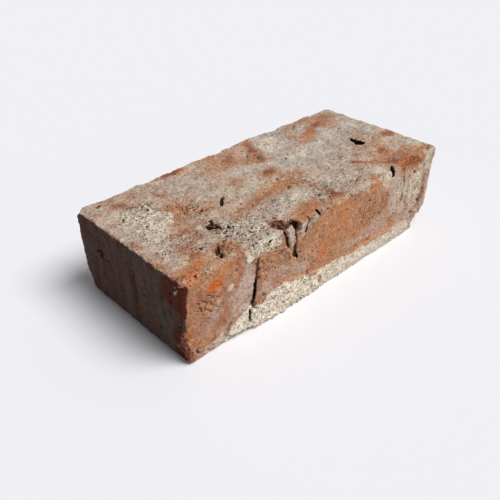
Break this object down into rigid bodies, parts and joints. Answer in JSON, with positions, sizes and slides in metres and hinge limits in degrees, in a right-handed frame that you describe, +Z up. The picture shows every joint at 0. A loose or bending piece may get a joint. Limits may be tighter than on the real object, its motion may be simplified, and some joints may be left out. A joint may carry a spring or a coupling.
{
  "type": "clay brick",
  "caption": "Solid fired-clay building brick, hand-moulded and reclaimed, with worn arrises and a band of old mortar along the foot of the front stretcher.",
  "frame": {"origin": "middle of the lower bed, the flat face that the brick lies on", "axes": "+X along the length, from the weathered header to the rounded one; +Y across the width, away from the stretcher with the mortar band; +Z up, from the lower bed to the upper bed"},
  "size_m": [0.2204, 0.1075, 0.0554],
  "materials": {
    "fired_clay": "matt fired clay, terracotta to orange, under a worn pale lime wash and mortar stains"
  },
  "bodies": {
    "root": {"brick": "fired_clay"}
  },
  "joints": []
}
